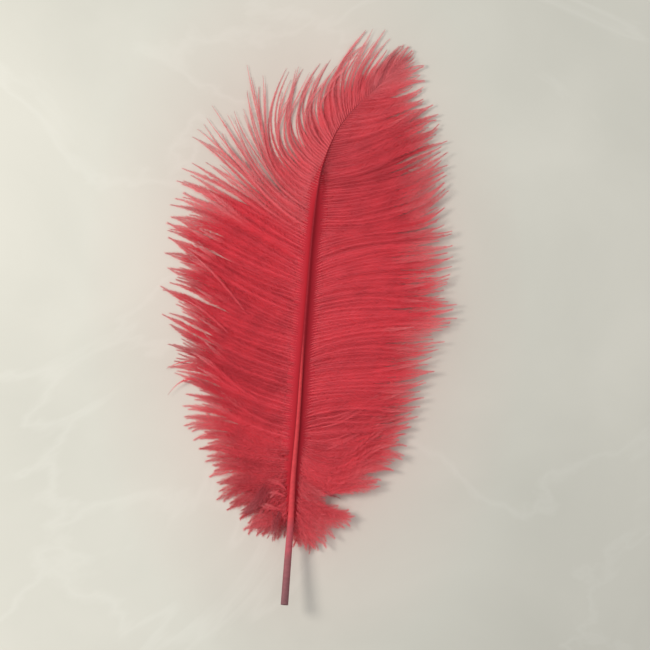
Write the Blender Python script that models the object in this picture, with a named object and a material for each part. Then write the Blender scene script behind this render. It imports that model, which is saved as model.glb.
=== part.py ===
"""Ostrich feather, 290 mm long, lying flat with its upper side up.

The feather is one grown piece: a tapering shaft, bare at the quill end, and the two vanes that grow from its
sides. The barbs of each vane hang together in locks. Each lock sets out from the shaft edge to edge with its
neighbours, bends towards the tip, parts from them further out and thins to its own tip. The vanes are fused
to the shaft by a Boolean union, and whatever would sink into the surface is cut off level, so the feather
lies on real flat faces.

X runs across the feather, Y from the cut quill end to the tip, Z up from the surface it lies on. The origin
is on that surface, under the middle of the feather. All the lengths below are in millimetres.
"""

from math import cos, exp, pi, radians, sin

import bmesh
import bpy
from mathutils import Vector

MM = 0.001

# The shaft's centre line, from the cut end to the tip: X, Y, Z and diameter.
SHAFT = [
    (-11.7, -144.6, 13.2, 3.8),
    (-10.1, -122.8, 9.6, 3.6),
    (-8.8, -106.3, 8.0, 3.35),
    (-7.4, -81.8, 6.9, 2.6),
    (-5.0, -53.8, 6.3, 2.0),
    (-2.9, -23.3, 6.0, 1.6),
    (-0.5, 7.2, 5.9, 1.3),
    (2.7, 45.2, 5.8, 1.05),
    (6.2, 69.7, 5.5, 0.95),
    (10.0, 81.7, 5.2, 0.9),
    (16.0, 93.9, 4.7, 0.8),
    (25.0, 104.7, 4.2, 0.7),
    (35.0, 113.7, 3.6, 0.6),
    (44.5, 122.7, 3.0, 0.5),
]
SHAFT_RINGS = 56
SHAFT_SIDES = 8
SHARP_FROM = 40  # degrees between faces from which the shaft's edges are sharp
QUILL_WALL = 0.7
QUILL_HOLLOW = 3.0  # how deep the cut end is hollowed

# The locks of each vane, from the tip down to the quill. A row holds the Y at which the lock leaves the
# shaft, its tip's X, Y and Z, the way it sets out and the way it ends, in degrees anticlockwise from +X,
# and the share of its length at which it parts from the next lock down.
LEFT_LOCKS = [
    (117.0, 50.0, 134.5, 1.6, 66, 50, 0.72),
    (110.5, 41.0, 132.5, 0.9, 90, 55, 0.72),
    (106.2, 40.5, 138.5, 0.9, 100, 52, 0.72),
    (102.7, 40.0, 144.5, 0.5, 106, 56, 0.72),
    (98.7, 34.0, 143.5, 0.1, 113, 50, 0.72),
    (93.7, 29.0, 142.0, 0.7, 119, 48, 0.58),
    (88.2, 18.5, 130.5, 0.6, 125, 52, 0.86),
    (82.7, 12.0, 126.5, 0.1, 130, 58, 0.58),
    (76.2, 6.0, 124.5, 0.6, 134, 54, 0.72),
    (70.2, -1.5, 127.0, 0.6, 137, 62, 0.72),
    (64.7, -9.0, 124.0, 0.1, 141, 66, 0.43),
    (61.2, -25.0, 118.0, 0.4, 144, 84, 0.72),
    (58.2, -30.0, 124.0, 0.4, 145, 103, 0.58),
    (55.2, -32.0, 120.5, 0.1, 146, 97, 0.43),
    (52.2, -39.5, 107.5, 0.4, 149, 110, 0.58),
    (49.7, -49.0, 105.0, 0.4, 150, 126, 0.43),
    (47.2, -57.5, 92.5, 0.1, 152, 137, 0.28),
    (42.2, -55.5, 77.0, 0.4, 152, 142, 0.72),
    (36.2, -63.5, 72.0, 0.4, 152, 158, 0.72),
    (29.2, -67.5, 65.0, 0.1, 152, 163, 0.58),
    (22.2, -68.0, 56.5, 0.5, 152, 160, 0.72),
    (15.2, -71.0, 48.0, 0.1, 152, 163, 0.72),
    (8.2, -73.0, 40.5, 0.6, 152, 162, 0.58),
    (1.0, -72.5, 31.0, 0.3, 152, 166, 0.86),
    (-6.3, -72.0, 23.0, 0.8, 153, 172, 0.72),
    (-13.8, -74.0, 16.5, 0.1, 154, 160, 0.58),
    (-21.3, -71.5, 6.0, 0.6, 155, 158, 0.86),
    (-28.3, -72.0, 0.0, 0.3, 156, 155, 0.72),
    (-35.0, -68.0, -10.0, 0.8, 157, 162, 0.58),
    (-41.5, -69.0, -16.0, 0.1, 158, 172, 0.72),
    (-48.0, -69.0, -27.0, 0.9, 160, 195, 0.58),
    (-54.5, -65.0, -37.0, 0.3, 163, 180, 0.86),
    (-61.0, -61.0, -48.5, 0.6, 166, 187, 0.72),
    (-67.0, -58.0, -59.5, 0.1, 170, 191, 0.58),
    (-72.5, -53.0, -68.0, 0.6, 175, 188, 0.86),
    (-77.5, -49.5, -77.0, 0.3, 181, 192, 0.72),
    (-82.5, -44.5, -86.5, 0.5, 188, 200, 0.86),
    (-87.5, -38.5, -95.0, 0.1, 197, 208, 0.72),
    (-92.0, -31.0, -102.0, 0.5, 207, 216, 0.72),
    (-96.5, -24.5, -109.0, 0.3, 220, 234, 0.72),
    (-101.0, -16.5, -112.5, 0.6, 240, 258, 0.72),
]
RIGHT_LOCKS = [
    (121.5, 53.5, 131.5, 2.0, 46, 44, 0.58),
    (116.5, 58.0, 123.5, 1.6, 32, 16, 0.72),
    (110.7, 57.0, 118.5, 2.2, 25, 17, 0.58),
    (105.7, 58.5, 113.0, 1.6, 22, 12, 0.58),
    (99.7, 62.0, 105.5, 2.6, 18, 20, 0.72),
    (92.7, 65.0, 98.5, 3.0, 12, 18, 0.72),
    (85.7, 67.0, 93.5, 0.1, 8, 25, 0.72),
    (78.7, 70.0, 87.0, 3.4, 5, 20, 0.86),
    (71.7, 69.0, 81.5, 3.8, 3, 28, 0.58),
    (64.7, 72.0, 74.5, 3.6, 4, 24, 0.72),
    (57.2, 70.5, 68.0, 0.1, 5, 36, 0.72),
    (49.7, 70.5, 58.5, 4.0, 6, 36, 0.86),
    (42.2, 70.0, 49.0, 3.8, 6, 24, 0.58),
    (34.7, 72.0, 40.5, 4.2, 7, 18, 0.72),
    (27.2, 72.0, 33.0, 0.1, 7, 10, 0.86),
    (19.2, 72.5, 25.0, 4.4, 7, 14, 0.58),
    (11.2, 74.0, 16.5, 4.2, 7, 4, 0.86),
    (3.7, 74.5, 8.5, 4.4, 7, 3, 0.72),
    (-3.8, 74.5, -0.5, 0.1, 6, 4, 0.72),
    (-11.3, 71.5, -9.0, 4.2, 6, 6, 0.58),
    (-18.8, 69.5, -18.0, 4.4, 5, 6, 0.86),
    (-25.8, 65.0, -25.0, 4.0, 5, 14, 0.72),
    (-32.8, 61.0, -34.0, 0.1, 4, 6, 0.86),
    (-40.3, 59.0, -43.0, 3.8, 3, 6, 0.58),
    (-47.8, 54.5, -52.5, 3.8, 0, 9, 0.86),
    (-55.3, 50.0, -62.0, 3.6, -3, 5, 0.72),
    (-62.3, 46.5, -71.5, 0.1, -7, -10, 0.72),
    (-68.8, 39.0, -81.5, 3.4, -12, -16, 0.86),
    (-74.8, 33.5, -91.0, 3.2, -18, -4, 0.43),
    (-81.3, 24.0, -95.5, 3.0, -30, 10, 0.72),
    (-86.3, 21.0, -103.5, 0.1, -38, -14, 0.86),
    (-91.3, 15.5, -111.0, 2.6, -48, -38, 0.72),
    (-96.3, 7.5, -117.0, 0.1, -59, -58, 0.72),
    (-101.3, -3.0, -118.5, 1.8, -74, -80, 0.72),
]

# The places along a lock, as shares of its length, at which its cross-section is drawn.
STATIONS = (0.0, 0.06, 0.14, 0.28, 0.43, 0.58, 0.72, 0.86, 1.0)
BOW = 0.36  # handle length of a lock's curve, as a share of the straight way to its tip

# Half the thickness along the middle of a lock, where it is thickest as a share of its length, and what is
# left of the thickness along its edges.
THICK_ROOT, THICK_MIDDLE, THICK_TIP = 0.16, 0.8, 0.3
THICKEST_AT = 0.3
THIN_EDGE = 0.45

# How far the seam between two joined locks lies below their middles, and the share of their length from
# which it lies that low.
SEAM_SINK = 0.45
SEAM_SUNK_AT = 0.2

# Half the width of a lock's free end where it parts, at most, and at its tip.
FREE_WIDEST = 2.8
FREE_TIP = 0.4
FREE_TAPER = 0.7  # below one, the free end keeps its width for longer
OUTER_WIDTH = 2.2  # the same at the edges that have no neighbour
HEADING_STEP = 0.02  # the share of a lock's length over which its heading is taken

# The vanes fall away from the shaft like a roof ridge, then sink to their tips' height.
ROOT_INSET = 0.2  # how far from the shaft's centre a lock is rooted, as a share of its diameter
RIDGE_DROP = 1.7
RIDGE_FULL_FROM = 6.0  # roots lower than this above the surface drop by less
RIDGE_WIDTH = 2.6
LANDS_AT = 0.88  # the share of a lock's length at which it is down to its tip's height

GROUND_SIDE, GROUND_DEPTH = 400.0, 10.0


def clear_scene():
    for obj in list(bpy.data.objects):
        bpy.data.objects.remove(obj, do_unlink=True)


def shaft_at(y):
    """The shaft's centre, its direction and its diameter at this Y, on a smooth curve through SHAFT."""
    rows = [Vector(row) for row in SHAFT]
    last = len(rows) - 2
    i = next((k for k in range(last) if y < SHAFT[k + 1][1]), last)
    before, start, end, after = rows[max(i - 1, 0)], rows[i], rows[i + 1], rows[min(i + 2, last + 1)]
    span = end.y - start.y
    u = (y - start.y) / span
    slope_in = (end - before) / (end.y - before.y) * span
    slope_out = (after - start) / (after.y - start.y) * span
    place = (
        start * (2 * u**3 - 3 * u**2 + 1)
        + slope_in * (u**3 - 2 * u**2 + u)
        + end * (3 * u**2 - 2 * u**3)
        + slope_out * (u**3 - u**2)
    )
    heading = (
        start * (6 * u**2 - 6 * u)
        + slope_in * (3 * u**2 - 4 * u + 1)
        + end * (6 * u - 6 * u**2)
        + slope_out * (3 * u**2 - 2 * u)
    )
    return Vector(place[:3]), Vector(heading[:3]).normalized(), place[3]


def blend(a, b, share):
    return a + (b - a) * share


def ease(share):
    share = min(max(share, 0.0), 1.0)
    return share * share * (3 - 2 * share)


def lock_point(row, side, t):
    """The middle of a lock, from its root in the shaft (t = 0) to its tip (t = 1)."""
    root_y, tip_x, tip_y, tip_z, start, end, _ = row
    centre, heading, diameter = shaft_at(root_y)
    root = centre + Vector((-heading.y, heading.x, 0)).normalized() * side * ROOT_INSET * diameter
    p0, p3 = root.xy, Vector((tip_x, tip_y))
    reach = (p3 - p0).length
    p1 = p0 + BOW * reach * Vector((cos(radians(start)), sin(radians(start))))
    p2 = p3 - BOW * reach * Vector((cos(radians(end)), sin(radians(end))))
    plan = p0 * (1 - t) ** 3 + 3 * p1 * t * (1 - t) ** 2 + 3 * p2 * t * t * (1 - t) + p3 * t**3
    drop = RIDGE_DROP * min(1.0, root.z / RIDGE_FULL_FROM) * (1 - exp(-t * reach / RIDGE_WIDTH))
    return Vector((plan.x, plan.y, blend(root.z - drop, tip_z, ease(t / LANDS_AT))))


def half_thickness(t):
    if t < THICKEST_AT:
        return blend(THICK_ROOT, THICK_MIDDLE, ease(t / THICKEST_AT))
    return blend(THICK_MIDDLE, THICK_TIP, ease((t - THICKEST_AT) / (1 - THICKEST_AT)))


def free_edge(row, side, t, parts_at, room, way):
    """The edge of a lock where it is on its own, on the side that way says: 1 towards the feather's tip."""
    ahead, behind = min(t + HEADING_STEP, 1), max(t - HEADING_STEP, 0)
    heading = lock_point(row, side, ahead) - lock_point(row, side, behind)
    across = Vector((-heading.y, heading.x, 0)).normalized() * side * -way
    tapered = ease((t - parts_at) / (1 - parts_at)) ** FREE_TAPER
    return lock_point(row, side, t) + across * blend(min(room, FREE_WIDEST), FREE_TIP, tapered)


class Vane:
    """One side's locks as a single closed mesh: joined edge to edge near the shaft, parted further out."""

    def __init__(self, locks, side):
        self.locks, self.side = locks, side
        self.bm = bmesh.new()
        self.joints = {}

    def pair(self, point, thick):
        """An upper and a lower vertex at this place."""
        lift = Vector((0, 0, thick))
        return self.bm.verts.new((point + lift) * MM), self.bm.verts.new((point - lift) * MM)

    def middle(self, index, t):
        return lock_point(self.locks[index], self.side, t)

    def joint(self, upper, k):
        """The edge that the lock numbered upper shares with the next one down, at station k."""
        if (upper, k) not in self.joints:
            t = STATIONS[k]
            point = (self.middle(upper, t) + self.middle(upper + 1, t)) / 2
            point.z -= SEAM_SINK * ease(t / SEAM_SUNK_AT)
            self.joints[upper, k] = self.pair(point, half_thickness(t) * THIN_EDGE)
        return self.joints[upper, k]

    def edges(self, index, way):
        """A lock's edge on one side, station by station, and the station at which it becomes free."""
        upper = index if way < 0 else index - 1
        if upper < 0 or upper + 1 >= len(self.locks):
            last_joined, parts_at, room = -1, 0.0, OUTER_WIDTH
        else:
            parts_at = self.locks[upper][6]
            last_joined = STATIONS.index(parts_at)
            room = (self.middle(upper, parts_at) - self.middle(upper + 1, parts_at)).length / 2
        found = []
        for k, t in enumerate(STATIONS):
            if k <= last_joined:
                found.append(self.joint(upper, k))
            else:
                point = free_edge(self.locks[index], self.side, t, parts_at, room, way)
                found.append(self.pair(point, half_thickness(t) * THIN_EDGE))
        return found, max(last_joined, 0)

    def face(self, *corners):
        for a, b, c in ((0, 1, 2), (0, 2, 3)):
            self.bm.faces.new((corners[a], corners[b], corners[c]))

    def add_lock(self, index):
        tipward, tipward_free = self.edges(index, 1)
        quillward, quillward_free = self.edges(index, -1)
        spine = [self.pair(self.middle(index, t), half_thickness(t)) for t in STATIONS]
        for k in range(len(STATIONS) - 1):
            for edge in (tipward, quillward):
                for level in (0, 1):
                    self.face(spine[k][level], edge[k][level], edge[k + 1][level], spine[k + 1][level])
            for edge, free in ((tipward, tipward_free), (quillward, quillward_free)):
                if k >= free:
                    self.face(edge[k][0], edge[k][1], edge[k + 1][1], edge[k + 1][0])
        for k in (0, -1):
            for edge in (tipward, quillward):
                self.face(spine[k][0], edge[k][0], edge[k][1], spine[k][1])

    def build(self):
        for index in range(len(self.locks)):
            self.add_lock(index)
        bmesh.ops.recalc_face_normals(self.bm, faces=self.bm.faces)
        return self.bm


def shaft_rings():
    """Round cross-sections of the shaft, square to its centre line."""
    first, last = SHAFT[0][1], SHAFT[-1][1]
    rings = []
    for k in range(SHAFT_RINGS + 1):
        centre, heading, diameter = shaft_at(blend(first, last, k / SHAFT_RINGS))
        side = heading.cross(Vector((0, 0, 1))).normalized()
        up = side.cross(heading)
        turns = [2 * pi * (n + 0.5) / SHAFT_SIDES for n in range(SHAFT_SIDES)]
        rings.append([centre + (side * cos(a) + up * sin(a)) * diameter / 2 for a in turns])
    return rings


def loft(rings):
    """A closed mesh through the rings, capped at both ends."""
    bm = bmesh.new()
    loops = [[bm.verts.new(point * MM) for point in ring] for ring in rings]
    for lower, upper in zip(loops, loops[1:]):
        count = len(lower)
        for n in range(count):
            bm.faces.new((lower[n], lower[(n + 1) % count], upper[(n + 1) % count], upper[n]))
    bm.faces.new(loops[0][::-1])
    bm.faces.new(loops[-1])
    bmesh.ops.recalc_face_normals(bm, faces=bm.faces)
    bmesh.ops.triangulate(bm, faces=[face for face in bm.faces if len(face.verts) == 4])
    return bm


def add_object(name, bm, collection):
    mesh = bpy.data.meshes.new(name)
    bm.to_mesh(mesh)
    bm.free()
    obj = bpy.data.objects.new(name, mesh)
    collection.objects.link(obj)
    return obj


def make_shaft():
    """The quill and rachis, with the cut end's shallow hollow."""
    bm = loft(shaft_rings())
    end = min(bm.faces, key=lambda face: face.calc_center_median().y)
    bmesh.ops.inset_individual(bm, faces=[end], thickness=QUILL_WALL * MM)
    floor = bmesh.ops.extrude_discrete_faces(bm, faces=[end])["faces"][0]
    inwards = shaft_at(SHAFT[0][1])[1] * QUILL_HOLLOW * MM
    bmesh.ops.translate(bm, verts=floor.verts, vec=inwards)
    feather = add_object("feather", bm, bpy.context.scene.collection)
    feather.data.shade_smooth()
    feather.data.set_sharp_from_angle(angle=radians(SHARP_FROM))
    return feather


def make_vanes():
    """The two hidden vanes, in a collection of their own, to be fused to the shaft."""
    helpers = bpy.data.collections.new("vanes")
    bpy.context.scene.collection.children.link(helpers)
    for name, locks, side in (("left_vane", LEFT_LOCKS, 1), ("right_vane", RIGHT_LOCKS, -1)):
        vane = add_object(name, Vane(locks, side).build(), helpers)
        vane.hide_render = True
        vane.display_type = "WIRE"
    return helpers


def make_ground():
    """A hidden slab under the surface, which cuts the undersides level."""
    bm = bmesh.new()
    bmesh.ops.create_cube(bm, size=1)
    bmesh.ops.scale(bm, vec=Vector((GROUND_SIDE, GROUND_SIDE, GROUND_DEPTH)) * MM, verts=bm.verts)
    bmesh.ops.translate(bm, vec=Vector((0, 0, -GROUND_DEPTH / 2)) * MM, verts=bm.verts)
    ground = add_object("ground_cutter", bm, bpy.context.scene.collection)
    ground.hide_render = True
    ground.display_type = "WIRE"
    return ground


def dyed_red():
    material = bpy.data.materials.new("dyed_red_feather")
    material.use_nodes = True
    shader = material.node_tree.nodes["Principled BSDF"]
    shader.inputs["Base Color"].default_value = (0.50, 0.035, 0.045, 1)
    shader.inputs["Roughness"].default_value = 0.75
    shader.inputs["Metallic"].default_value = 0.0
    return material


def main():
    clear_scene()
    feather = make_shaft()
    feather.data.materials.append(dyed_red())
    fuse = feather.modifiers.new("fuse_vanes", "BOOLEAN")
    fuse.operation = "UNION"
    fuse.solver = "MANIFOLD"  # EXACT leaves 13 edges here that three or more faces share
    fuse.operand_type = "COLLECTION"
    fuse.collection = make_vanes()
    level = feather.modifiers.new("lie_flat", "BOOLEAN")
    level.operation = "DIFFERENCE"
    level.solver = "EXACT"
    level.object = make_ground()


main()
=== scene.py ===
"""A dyed ostrich feather on a pale stone top, seen from above in soft light from the left.

The shaft is modelled ring by ring. Each vane is made of single barbs: a thin tapering ramus with two rows of
barbules. Barbs that end together form strands, whose tips lie where they do on the real feather. Lengths are
in millimetres until a mesh is made.
"""

from math import cos, pi, radians, sin

import bpy
import numpy as np
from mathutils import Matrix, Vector


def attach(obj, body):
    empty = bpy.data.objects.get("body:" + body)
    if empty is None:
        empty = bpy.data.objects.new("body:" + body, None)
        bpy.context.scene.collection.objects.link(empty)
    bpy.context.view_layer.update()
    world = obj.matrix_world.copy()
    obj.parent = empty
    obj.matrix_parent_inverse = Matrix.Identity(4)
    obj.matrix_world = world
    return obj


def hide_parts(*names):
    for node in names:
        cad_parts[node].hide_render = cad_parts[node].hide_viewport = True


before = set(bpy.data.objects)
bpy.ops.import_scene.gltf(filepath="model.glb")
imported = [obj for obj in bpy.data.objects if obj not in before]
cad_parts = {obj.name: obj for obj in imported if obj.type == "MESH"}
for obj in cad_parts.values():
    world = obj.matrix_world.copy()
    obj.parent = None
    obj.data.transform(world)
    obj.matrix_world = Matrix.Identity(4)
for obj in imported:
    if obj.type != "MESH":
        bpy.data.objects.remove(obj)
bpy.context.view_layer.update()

MM = 0.001
LEFT, RIGHT, LOOSE = 1, -1, 0  # the sides of the shaft, and barbs that lie loose

# ---- the feather's own lines

# The shaft's centre line, from the cut end to the tip: X, Y, Z and diameter.
SHAFT = np.array([
    (-11.7, -144.6, 13.2, 3.8),
    (-10.1, -122.8, 9.6, 3.6),
    (-8.8, -106.3, 8, 3.35),
    (-7.4, -81.8, 6.9, 2.6),
    (-5, -53.8, 6.3, 2),
    (-2.9, -23.3, 6, 1.5),
    (-0.5, 7.2, 5.9, 1.2),
    (2.7, 45.2, 5.8, 0.95),
    (6.2, 69.7, 5.5, 0.8),
    (10, 81.7, 5.2, 0.7),
    (16, 93.9, 4.7, 0.6),
    (25, 104.7, 4, 0.45),
    (35, 113.7, 3.2, 0.35),
    (44.5, 122.7, 2.6, 0.2),
])

# The strands of the left vane, from the tip down to the quill: the Y at which a strand leaves the shaft, its
# tip's X and Y, and the way it ends, in degrees anticlockwise from +X.
LEFT_STRANDS = np.array([
    (121.2, 54, 130.2, 42), (119.2, 52, 132.2, 45), (117.2, 50.2, 133.9, 44), (115.2, 48, 135.2, 38),
    (113.2, 45.5, 132.4, 44), (111.2, 42, 130.2, 46), (109.2, 39, 127.2, 46), (107.4, 40, 132.7, 60),
    (105.7, 40.8, 138.7, 46), (103.7, 38.8, 142.7, 56), (101.7, 36.5, 140.2, 54), (99.2, 34, 144.2, 64),
    (96.2, 32, 136.2, 24), (93.2, 29, 142.2, 50), (90.2, 21, 130.2, 52), (87.2, 17.5, 127.2, 50),
    (84.7, 11.8, 127.4, 58), (81.7, 10, 125.2, 55), (78.7, 6.2, 125.4, 50), (75.7, 7, 121.7, 52),
    (72.7, -1, 124.9, 58), (69.7, -4, 131.2, 80), (66.7, -8, 119.7, 62), (63.7, -9.2, 124.7, 62),
    (60.2, -24.2, 119.9, 82), (57.7, -30.2, 124.9, 101), (55.2, -32, 121.4, 96), (52.7, -35, 106.7, 107),
    (50.7, -39.5, 107.7, 104), (48.7, -43, 90.2, 106), (47.2, -49, 105.2, 126), (45.7, -51, 98.2, 124),
    (44.2, -52, 95.2, 122), (42.7, -56.5, 93.2, 139), (41.2, -60.5, 89.7, 152), (39.7, -55.5, 77.2, 140),
    (38.2, -58.8, 75.7, 142), (36.4, -63.2, 72.2, 152), (34.2, -62, 67.2, 150), (31.7, -67, 66.4, 160),
    (28.7, -62.2, 62.2, 140), (25.7, -68, 59.4, 172), (22.2, -68.8, 55.2, 168), (18.7, -68.5, 49.2, 176),
    (15.2, -71.5, 46.2, 148), (12.2, -70.2, 41.7, 168), (9.2, -69.8, 39.2, 150), (5.7, -66, 35.7, 135),
    (2.2, -72.2, 30.9, 172), (-0.8, -70.8, 27.7, 165), (-4.3, -71.2, 24.2, 168), (-7.8, -73, 18.7, 176),
    (-11.3, -70.8, 16.7, 155), (-14.3, -74.5, 14.9, 152), (-17.8, -70.5, 11.2, 150), (-20.8, -70, 7.7, 145),
    (-23.8, -69.8, 4.2, 160), (-26.3, -69, 1.7, 158), (-28.8, -72.5, 0.7, 155), (-31.8, -68.5, -3.8, 148),
    (-35.3, -67, -9.3, 150), (-38.8, -69.5, -13.8, 162), (-41.8, -68.5, -17.8, 165),
    (-44.8, -66.5, -21.8, 166), (-47.3, -70.2, -27.3, 186), (-49.8, -67, -28.8, 172),
    (-52.8, -65.5, -33.3, 170), (-56.3, -61, -38.8, 172), (-58.8, -56, -43.3, 176),
    (-61.3, -62, -47.1, 180), (-63.3, -62, -49.8, 190), (-65.8, -61, -55.8, 200), (-67.8, -57, -60.8, 205),
    (-69.8, -53, -63.8, 182), (-71.8, -52.5, -66.8, 183), (-73.6, -52.5, -70.3, 188),
    (-75.3, -48, -76.3, 200), (-77.1, -48.5, -79.3, 205), (-78.8, -45, -83.8, 215),
    (-80.6, -43, -87.8, 215), (-82.1, -44.5, -91.8, 205), (-83.8, -38.5, -95.3, 215),
    (-85.6, -36, -98.3, 212), (-87.3, -32.5, -101.3, 220), (-89.1, -28, -104.8, 230),
    (-90.8, -25.5, -109.3, 240), (-92.8, -23, -112.3, 245), (-95.3, -18.5, -112.8, 258),
    (-98.3, -15, -111.8, 262),
])
# The right vane's upper strands, by their tips and the way they end, and its lower ones in full. At the notch
# they are set one by one.
RIGHT_UPPER = np.array([
    (53, 131.2, 42), (53.8, 128.2, 40), (54.2, 126.2, 38), (58, 123.7, 10), (56, 119.7, 28),
    (58.5, 116.2, 8), (54.5, 114.9, 20), (58.5, 113.2, 34), (55, 109.7, 22), (58, 107.9, 30),
    (59, 105.2, 5), (63, 104.7, 34), (59, 101.9, 30), (65.5, 99.2, 12), (64, 96.2, 5), (66.5, 94.7, 50),
    (63, 93.7, 6), (67.5, 91.4, 30), (70, 89.2, 10), (69.5, 86.7, 26), (70, 84.2, 30), (68.5, 82.2, 38),
    (67.5, 79.7, 46), (72, 74.9, 18), (71, 72.7, 30), (70, 70.2, 30), (69, 66.2, 44), (69.5, 62.2, 45),
    (70.5, 61.2, 46), (69, 56.7, 32), (70, 54.7, 40), (69.5, 50.2, 26), (70.5, 47.7, 36), (72, 40.9, 18),
    (70, 37.2, 15), (72.5, 34.4, 12), (70, 30.9, 15), (72, 29.2, 18), (70.5, 26.2, 5), (73.5, 24.2, 8),
    (73, 21.7, 12), (71, 18.7, 22), (69.5, 15.7, 15), (70.5, 13.7, 5), (69.5, 11.2, 15), (74, 8.2, 2),
    (70, 6.2, 0), (74.5, 4.7, 5), (72.5, 2.9, 12), (70, 0.2, 5), (74.5, -0.8, 2), (71, -3.6, 8),
    (70.5, -6.8, 10), (69.5, -9.3, 5), (69.5, -12.8, 0), (68.5, -14.3, 8), (64.5, -16.3, 10),
    (68, -17.8, 8), (64, -19.8, 10),
])
RIGHT_LOWER = np.array([
    (-31.8, 65, -24.1, 8), (-34.8, 66, -28.3, 0), (-38.3, 61, -30.8, 10), (-41.8, 58.5, -33.3, 15),
    (-45.3, 57, -35.8, 15), (-48.8, 56.5, -38.8, 20), (-51.8, 58, -41.3, 15), (-54.8, 58, -44.8, 20),
    (-57.8, 56, -48.8, 20), (-60.2, 52, -52.8, 15), (-61.8, 51.5, -55.8, 15), (-63.2, 48, -59.3, 20),
    (-64.4, 44, -61.8, 25), (-65.6, 48, -65.8, -10), (-66.8, 45.5, -68.8, -6), (-68, 46.5, -72.8, -18),
    (-69.3, 41.5, -74.3, 0), (-70.6, 40, -77.8, 8), (-72, 38.5, -80.8, 0), (-73.4, 33.5, -83, 8),
    (-75, 35, -84.4, 8), (-76.4, 34.5, -86, 2), (-77.6, 32, -87.2, -4), (-81.3, 24, -97.2, 14),
    (-83.2, 22.5, -98, 8), (-85.6, 18.5, -100, -18), (-88, 19.5, -103.3, -30), (-90.4, 17.5, -106.8, -35),
    (-92.8, 16, -109.3, -42), (-95.2, 11, -110.3, -50), (-97.5, 6, -116.3, -62), (-99.6, 4.5, -117.3, -75),
    (-101.3, 0, -117.3, -88), (-103.3, -5, -115.8, -96),
])

# Curves are pairs of a place, the root's Y unless stated, and a value. They run straight from pair to pair.

# The Y at which an upper right strand leaves the shaft, by its tip's Y.
RIGHT_ROOTED = (
    (-20.8, -29.8), (-12.8, -23.3), (-1.8, -11.8), (6.2, 0.7), (17.2, 7.7), (28.7, 14.2), (37.2, 21.7),
    (49.7, 31.7), (61.2, 41.7), (69.2, 49.7), (74.7, 56.2), (82.7, 62.2), (94.2, 72.2), (104.7, 91.5),
    (108.7, 98.5), (112, 104.5), (117.2, 109.7), (131.2, 121.2),
)
# The way the strands set out, in degrees anticlockwise from +X.
SETS_OUT = {LEFT: (
    (-98, 254), (-93, 230), (-87, 208), (-82, 197), (-77, 189), (-68, 180), (-56, 175), (-45, 173),
    (-32, 167), (-18, 166), (0, 163), (20, 160), (32, 156), (40, 158), (47, 160), (61, 159), (67, 154),
    (82, 142), (88, 116), (104, 94), (108, 92), (113, 76), (121, 50),
), RIGHT: (
    (-103, -94), (-99, -81), (-95, -70), (-90, -63), (-84, -58), (-78, -56), (-72, -52), (-68, -48),
    (-66, -42), (-62, -8), (-60, 6), (-58, 22), (-52, 24), (-45, 15), (-40, 12), (-35, 13), (-27, 20),
    (-20, 28), (-17, 22), (-13, 15), (0, 15), (8, 21), (15, 24), (19, 22), (24, 29), (31, 27), (36, 20),
    (41, -1), (47, -3), (55, 1), (62, 4), (80, 6), (100, 4), (107, 5), (112, 26), (117, 36), (121, 42),
)}
# Degrees added, anticlockwise, to the way they end.
TURN = {
    LEFT: ((22, 0), (30, 8), (40, 8), (46, 0)),
    RIGHT: ((-78.5, 0), (-76, -10), (-63, -10), (-60, 0), (-46, 0), (-42, 8), (-24, 8), (-20, -3), (-9, -3),
            (-6, 4), (13, 4), (18, 0)),
}

# Loose barbs that lie over a vane: X and Y of one end, of a point on the way and of the tip, their height
# above the stone, and how many lie side by side.
STRAYS = (
    ((-52.5, -34.3), (-61.5, -32.8), (-70, -40.3), 4.2, 1),
    ((-59, -23.3), (-66, -24.8), (-70.8, -27.3), 2.2, 1),
    ((-30, -0.5), (-46, 19), (-59, 31), 3.6, 1),
    ((-36, -14), (-50, 0), (-64, 8.5), 3.4, 1),
    ((7, -54.8), (26, -47), (48.5, -27.5), 5.4, 5),
    ((10, -66), (27, -57.8), (46, -41.5), 5.2, 4),
)
# Short downy barbs below the last strands, and how dark they are: painted shade for the down's shadowed folds
# and gaps and the notch.
DOWN = (
    ((-13, -97.3), (-18, -96.8), (-23, -95.3), 5, 3, 0),
    ((-12.5, -86.3), (-15.5, -84.3), (-18, -82.8), 6.6, 3, 0),
    ((-12, -90.3), (-16, -88.8), (-20.5, -90.3), 6.4, 3, 0),
    ((-19, -84.8), (-26, -93.3), (-33, -98.8), 4.8, 8, 0.72),
    ((-14.5, -99.3), (-16, -106.3), (-16.5, -111.3), 5.4, 6, 0.78),
    ((-8.5, -104.3), (-7, -110.3), (-5, -115.3), 3, 2, 0.3),
    ((-4, -103.3), (-0.5, -110.3), (0, -117.3), 3, 2, 0.2),
    ((-1, -101.3), (3, -109.3), (4.5, -117.3), 3, 2, 0.1),
    ((6.5, -86.5), (10.5, -89.8), (15, -92), 6, 2, 0.9),
)

# How far a strand keeps its first and its last direction, as a share of its reach.
FIRST_BOW = {
    LEFT: ((-60, 0.27), (-45, 0.34), (-15, 0.34), (10, 0.25), (48, 0.25), (66, 0.44), (108, 0.44),
           (122, 0.35)),
    RIGHT: ((-84, 0.38), (-80, 0.58), (-66, 0.58), (-58, 0.38), (-20, 0.38), (-12, 0.48), (30, 0.48),
            (38, 0.38)),
}
LAST_BOW = {LEFT: ((48, 0.36), (66, 0.5), (108, 0.5), (122, 0.4)), RIGHT: ((0, 0.36),)}
ROOT_INSET = 0.2  # how far beside the shaft's centre line a barb starts, in diameters
# Right barbs rooted between these Ys stop short, which leaves a notch in the vane's edge.
NOTCH, NOTCH_REACH = (-81.1, -77.9), 0.45
NOTCH_CROSSING = -87  # from here up to the notch, barbs that cross their neighbours stop short too
# Beside the shaft the strands drop from a ridge: how far, over what width, and from which height in full.
RIDGE_DROP, RIDGE_WIDTH, RIDGE_FULL = 1.5, 2.8, 6
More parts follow.
